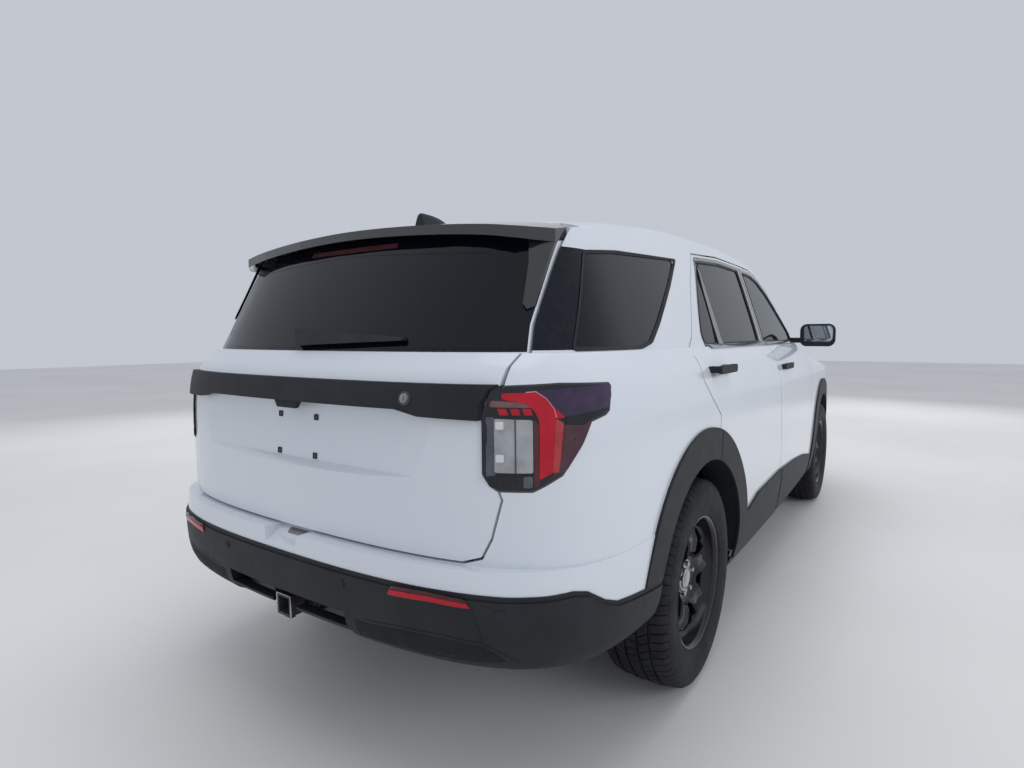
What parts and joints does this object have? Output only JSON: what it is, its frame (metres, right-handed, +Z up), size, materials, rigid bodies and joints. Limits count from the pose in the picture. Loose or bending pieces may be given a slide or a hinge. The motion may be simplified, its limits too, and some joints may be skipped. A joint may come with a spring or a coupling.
{
  "type": "police sport utility vehicle",
  "caption": "Mid-size police sport utility vehicle, white, with opening doors, hood and liftgate, a tow hitch, steered front wheels and black steel wheels.",
  "frame": {"origin": "on the ground plane, on the centreline, midway between the front and rear bumpers", "axes": "+X to the front of the vehicle, +Y to its left, +Z up"},
  "size_m": [5.0545, 2.269, 1.7633],
  "materials": {
    "body_paint": "gloss white clearcoat",
    "textured_black_plastic": "fine grained matte",
    "gloss_black_plastic": "gloss black",
    "clear_glass": "light green tint",
    "privacy_glass": "dark privacy tint",
    "chassis_metal": "semi-gloss black",
    "floor_metal": "satin black",
    "tyre_rubber": "matte",
    "wheel_black": "satin black",
    "seat_cloth": "woven dark grey",
    "dash_plastic": "soft grain",
    "lamp_lens": "clear over red",
    "headlamp_lens": "clear",
    "brushed_steel": "dull steel",
    "cast_metal": "cast"
  },
  "bodies": {
    "body": {"body_side_right": "body_paint", "body_side_left": "body_paint", "roof_panel": "body_paint", "front_fenders": "body_paint", "front_bumper": "body_paint", "rear_bumper": "body_paint", "rear_bumper_cladding": "textured_black_plastic", "body_cladding": "textured_black_plastic", "grille": "textured_black_plastic", "cowl_panel": "textured_black_plastic", "roof_antenna": "textured_black_plastic", "headlamps": "headlamp_lens", "tail_lamps": "lamp_lens", "fixed_glass": "privacy_glass", "windscreen": "clear_glass", "hitch_receiver": "chassis_metal", "floor_pan": "floor_metal", "wheelhouses_front": "textured_black_plastic", "wheelhouses_rear": "textured_black_plastic", "frame_rails": "floor_metal", "engine_block": "cast_metal", "suspension": "chassis_metal", "driveline": "chassis_metal", "exhaust": "brushed_steel", "front_seats": "seat_cloth", "rear_seat": "seat_cloth", "dashboard": "dash_plastic"},
    "door_front_right": {"door_front_right": "body_paint", "glass_front_right": "clear_glass", "door_front_right_trim": "textured_black_plastic"},
    "wheel_front_right": {"wheel_front_right": "wheel_black", "tyre_front_right": "tyre_rubber"},
    "door_front_left": {"door_front_left": "body_paint", "glass_front_left": "clear_glass", "door_front_left_trim": "textured_black_plastic"},
    "wheel_front_left": {"wheel_front_left": "wheel_black", "tyre_front_left": "tyre_rubber"},
    "door_rear_right": {"door_rear_right": "body_paint", "glass_rear_right": "privacy_glass", "door_rear_right_trim": "textured_black_plastic"},
    "wheel_rear_right": {"wheel_rear_right": "wheel_black", "tyre_rear_right": "tyre_rubber"},
    "door_rear_left": {"door_rear_left": "body_paint", "glass_rear_left": "privacy_glass", "door_rear_left_trim": "textured_black_plastic"},
    "wheel_rear_left": {"wheel_rear_left": "wheel_black", "tyre_rear_left": "tyre_rubber"},
    "steering_knuckle_right": {"knuckle_front_right": "chassis_metal"},
    "steering_knuckle_left": {"knuckle_front_left": "chassis_metal"},
    "steering_wheel": {"steering_wheel": "dash_plastic"},
    "hood": {"hood": "body_paint"},
    "liftgate": {"liftgate": "body_paint", "liftgate_glass": "privacy_glass", "liftgate_spoiler": "gloss_black_plastic", "liftgate_trim": "textured_black_plastic"},
    "fuel_door": {"fuel_door": "body_paint"}
  },
  "joints": [
    {"name": "door_front_right_hinge", "type": "hinge", "parent": "body", "child": "door_front_right", "pos_m": [0.915, -0.978, 0.75], "axis": [0, 0, 1], "range_deg": [0, 68]},
    {"name": "door_rear_right_hinge", "type": "hinge", "parent": "body", "child": "door_rear_right", "pos_m": [-0.194, -0.978, 0.75], "axis": [0, 0, 1], "range_deg": [0, 68]},
    {"name": "door_front_left_hinge", "type": "hinge", "parent": "body", "child": "door_front_left", "pos_m": [0.915, 0.978, 0.75], "axis": [0, 0, -1], "range_deg": [0, 68]},
    {"name": "door_rear_left_hinge", "type": "hinge", "parent": "body", "child": "door_rear_left", "pos_m": [-0.194, 0.978, 0.75], "axis": [0, 0, -1], "range_deg": [0, 68]},
    {"name": "hood_hinge", "type": "hinge", "parent": "body", "child": "hood", "pos_m": [1.21, 0, 1.183], "axis": [0, -1, 0], "range_deg": [0, 50]},
    {"name": "liftgate_hinge", "type": "hinge", "parent": "body", "child": "liftgate", "pos_m": [-2.062, 0, 1.656], "axis": [0, 1, 0], "range_deg": [0, 85]},
    {"name": "fuel_door_hinge", "type": "hinge", "parent": "body", "child": "fuel_door", "pos_m": [-1.765, 0.966, 1.01], "axis": [0, 0, -1], "range_deg": [0, 95]},
    {"name": "steer_left", "type": "hinge", "parent": "body", "child": "steering_knuckle_left", "pos_m": [1.595, 0.765, 0.3815], "axis": [0, 0, 1], "range_deg": [-33, 33]},
    {"name": "steer_right", "type": "hinge", "parent": "body", "child": "steering_knuckle_right", "pos_m": [1.595, -0.765, 0.3815], "axis": [0, 0, 1], "range_deg": [-33, 33]},
    {"name": "steering_wheel_turn", "type": "hinge", "parent": "body", "child": "steering_wheel", "pos_m": [0.455, 0.37, 0.985], "axis": [-0.9207, 0, 0.3903], "range_deg": [-470, 470]},
    {"name": "wheel_front_right_spin", "type": "hinge", "parent": "steering_knuckle_right", "child": "wheel_front_right", "pos_m": [1.595, -0.85, 0.3815], "axis": [0, 1, 0], "continuous": true},
    {"name": "wheel_front_left_spin", "type": "hinge", "parent": "steering_knuckle_left", "child": "wheel_front_left", "pos_m": [1.595, 0.85, 0.3815], "axis": [0, 1, 0], "continuous": true},
    {"name": "wheel_rear_right_spin", "type": "hinge", "parent": "body", "child": "wheel_rear_right", "pos_m": [-1.43, -0.85, 0.3815], "axis": [0, 1, 0], "continuous": true},
    {"name": "wheel_rear_left_spin", "type": "hinge", "parent": "body", "child": "wheel_rear_left", "pos_m": [-1.43, 0.85, 0.3815], "axis": [0, 1, 0], "continuous": true}
  ],
  "couplings": [
    {"joint": "steer_right", "follows": "steer_left", "ratio": 1},
    {"joint": "steering_wheel_turn", "follows": "steer_left", "ratio": 14}
  ]
}
